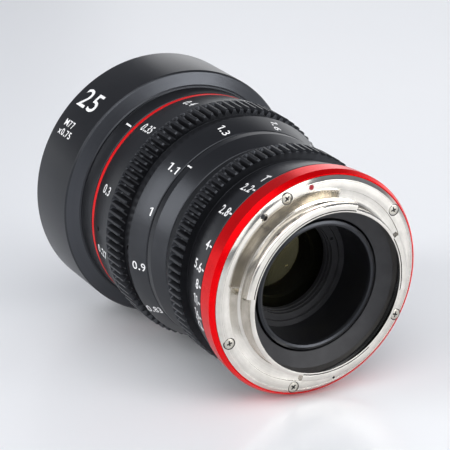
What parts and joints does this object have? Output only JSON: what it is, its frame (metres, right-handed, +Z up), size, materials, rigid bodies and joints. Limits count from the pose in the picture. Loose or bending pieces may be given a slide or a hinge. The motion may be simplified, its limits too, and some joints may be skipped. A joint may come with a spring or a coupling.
{
  "type": "cine prime lens",
  "caption": "Manual cine prime lens with geared focus and aperture rings, a red mount ring, a bayonet mount and an open front with a filter thread.",
  "frame": {"origin": "centre of the mount's flange face, on the optical axis", "axes": "+Y along the optical axis towards the front of the lens, +Z up as the lens lies on its side"},
  "size_m": [0.08, 0.1057, 0.08],
  "materials": {
    "black_anodised": "satin black anodised",
    "red_anodised": "glossy red anodised",
    "mount_metal": "turned and chrome plated",
    "black_paint": "matt black",
    "steel": "polished",
    "brass": "turned",
    "glide_plastic": "plain",
    "red_paint": "glossy",
    "blade_black": "matt black",
    "coated_glass": "clear, coated"
  },
  "bodies": {
    "barrel": {"bayonet_mount": "mount_metal", "mount_index_dot": "red_paint", "bayonet_stop_screw": "steel", "mount_screws": "steel", "mount_shim": "brass", "mount_base_ring": "red_anodised", "barrel_screws": "steel", "rear_baffle": "black_paint", "inner_barrel": "black_anodised", "aperture_glide_rings": "glide_plastic", "focus_glide_rings": "glide_plastic", "mid_barrel": "black_anodised", "front_barrel": "black_anodised", "front_bezel": "black_paint"},
    "focus": {"focus_ring": "black_anodised", "focus_accent_ring": "red_anodised", "focus_set_screws": "steel", "focus_cam_sleeve": "black_anodised"},
    "optics": {"rear_cell": "black_anodised", "rear_retaining_ring": "black_paint", "front_cell": "black_anodised", "cam_followers": "brass", "cell_retaining_rings": "black_anodised", "front_retaining_ring": "black_anodised", "cell_spacers": "black_anodised", "iris_base_plate": "black_anodised", "element_1": "coated_glass", "element_2": "coated_glass", "element_3": "coated_glass", "element_4": "coated_glass", "element_5": "coated_glass", "element_6": "coated_glass", "element_7": "coated_glass", "element_8": "coated_glass", "element_9": "coated_glass"},
    "aperture": {"aperture_ring": "black_anodised", "aperture_fork": "black_anodised", "fork_screws": "steel"},
    "iris": {"iris_cam_ring": "black_anodised", "iris_drive_pin": "steel"},
    "blade_1": {"iris_blade_1": "blade_black"},
    "blade_2": {"iris_blade_2": "blade_black"},
    "blade_3": {"iris_blade_3": "blade_black"},
    "blade_4": {"iris_blade_4": "blade_black"},
    "blade_5": {"iris_blade_5": "blade_black"},
    "blade_6": {"iris_blade_6": "blade_black"},
    "blade_7": {"iris_blade_7": "blade_black"},
    "blade_8": {"iris_blade_8": "blade_black"}
  },
  "joints": [
    {"name": "focus_turn", "type": "hinge", "parent": "barrel", "child": "focus", "pos_m": [0, 0, 0], "axis": [0, 1, 0], "range_deg": [-127.5, 86]},
    {"name": "optics_slide", "type": "slide", "parent": "barrel", "child": "optics", "axis": [0, 1, 0], "range_m": [-0.00356, 0.0024]},
    {"name": "aperture_turn", "type": "hinge", "parent": "barrel", "child": "aperture", "pos_m": [0, 0, 0], "axis": [0, 1, 0], "range_deg": [-7.3, 67.8]},
    {"name": "iris_turn", "type": "hinge", "parent": "optics", "child": "iris", "pos_m": [0, 0, 0], "axis": [0, 1, 0], "range_deg": [-7.35, 67.85]},
    {"name": "blade_1_swing", "type": "hinge", "parent": "optics", "child": "blade_1", "pos_m": [0, 0.0315, 0.015], "axis": [0, 1, 0], "range_deg": [-2.9, 26.4]},
    {"name": "blade_2_swing", "type": "hinge", "parent": "optics", "child": "blade_2", "pos_m": [0.01061, 0.0315, 0.01061], "axis": [0, 1, 0], "range_deg": [-2.9, 26.4]},
    {"name": "blade_3_swing", "type": "hinge", "parent": "optics", "child": "blade_3", "pos_m": [0.015, 0.0315, 0], "axis": [0, 1, 0], "range_deg": [-2.9, 26.4]},
    {"name": "blade_4_swing", "type": "hinge", "parent": "optics", "child": "blade_4", "pos_m": [0.01061, 0.0315, -0.01061], "axis": [0, 1, 0], "range_deg": [-2.9, 26.4]},
    {"name": "blade_5_swing", "type": "hinge", "parent": "optics", "child": "blade_5", "pos_m": [0, 0.0315, -0.015], "axis": [0, 1, 0], "range_deg": [-2.9, 26.4]},
    {"name": "blade_6_swing", "type": "hinge", "parent": "optics", "child": "blade_6", "pos_m": [-0.01061, 0.0315, -0.01061], "axis": [0, 1, 0], "range_deg": [-2.9, 26.4]},
    {"name": "blade_7_swing", "type": "hinge", "parent": "optics", "child": "blade_7", "pos_m": [-0.015, 0.0315, 0], "axis": [0, 1, 0], "range_deg": [-2.9, 26.4]},
    {"name": "blade_8_swing", "type": "hinge", "parent": "optics", "child": "blade_8", "pos_m": [-0.01061, 0.0315, 0.01061], "axis": [0, 1, 0], "range_deg": [-2.9, 26.4]}
  ],
  "couplings": [
    {"joint": "optics_slide", "follows": "focus_turn", "m_per_rad": 0.0015915},
    {"joint": "iris_turn", "follows": "aperture_turn", "ratio": 1},
    {"joint": "blade_1_swing", "follows": "aperture_turn", "ratio": 0.38882},
    {"joint": "blade_2_swing", "follows": "aperture_turn", "ratio": 0.38882},
    {"joint": "blade_3_swing", "follows": "aperture_turn", "ratio": 0.38882},
    {"joint": "blade_4_swing", "follows": "aperture_turn", "ratio": 0.38882},
    {"joint": "blade_5_swing", "follows": "aperture_turn", "ratio": 0.38882},
    {"joint": "blade_6_swing", "follows": "aperture_turn", "ratio": 0.38882},
    {"joint": "blade_7_swing", "follows": "aperture_turn", "ratio": 0.38882},
    {"joint": "blade_8_swing", "follows": "aperture_turn", "ratio": 0.38882}
  ]
}
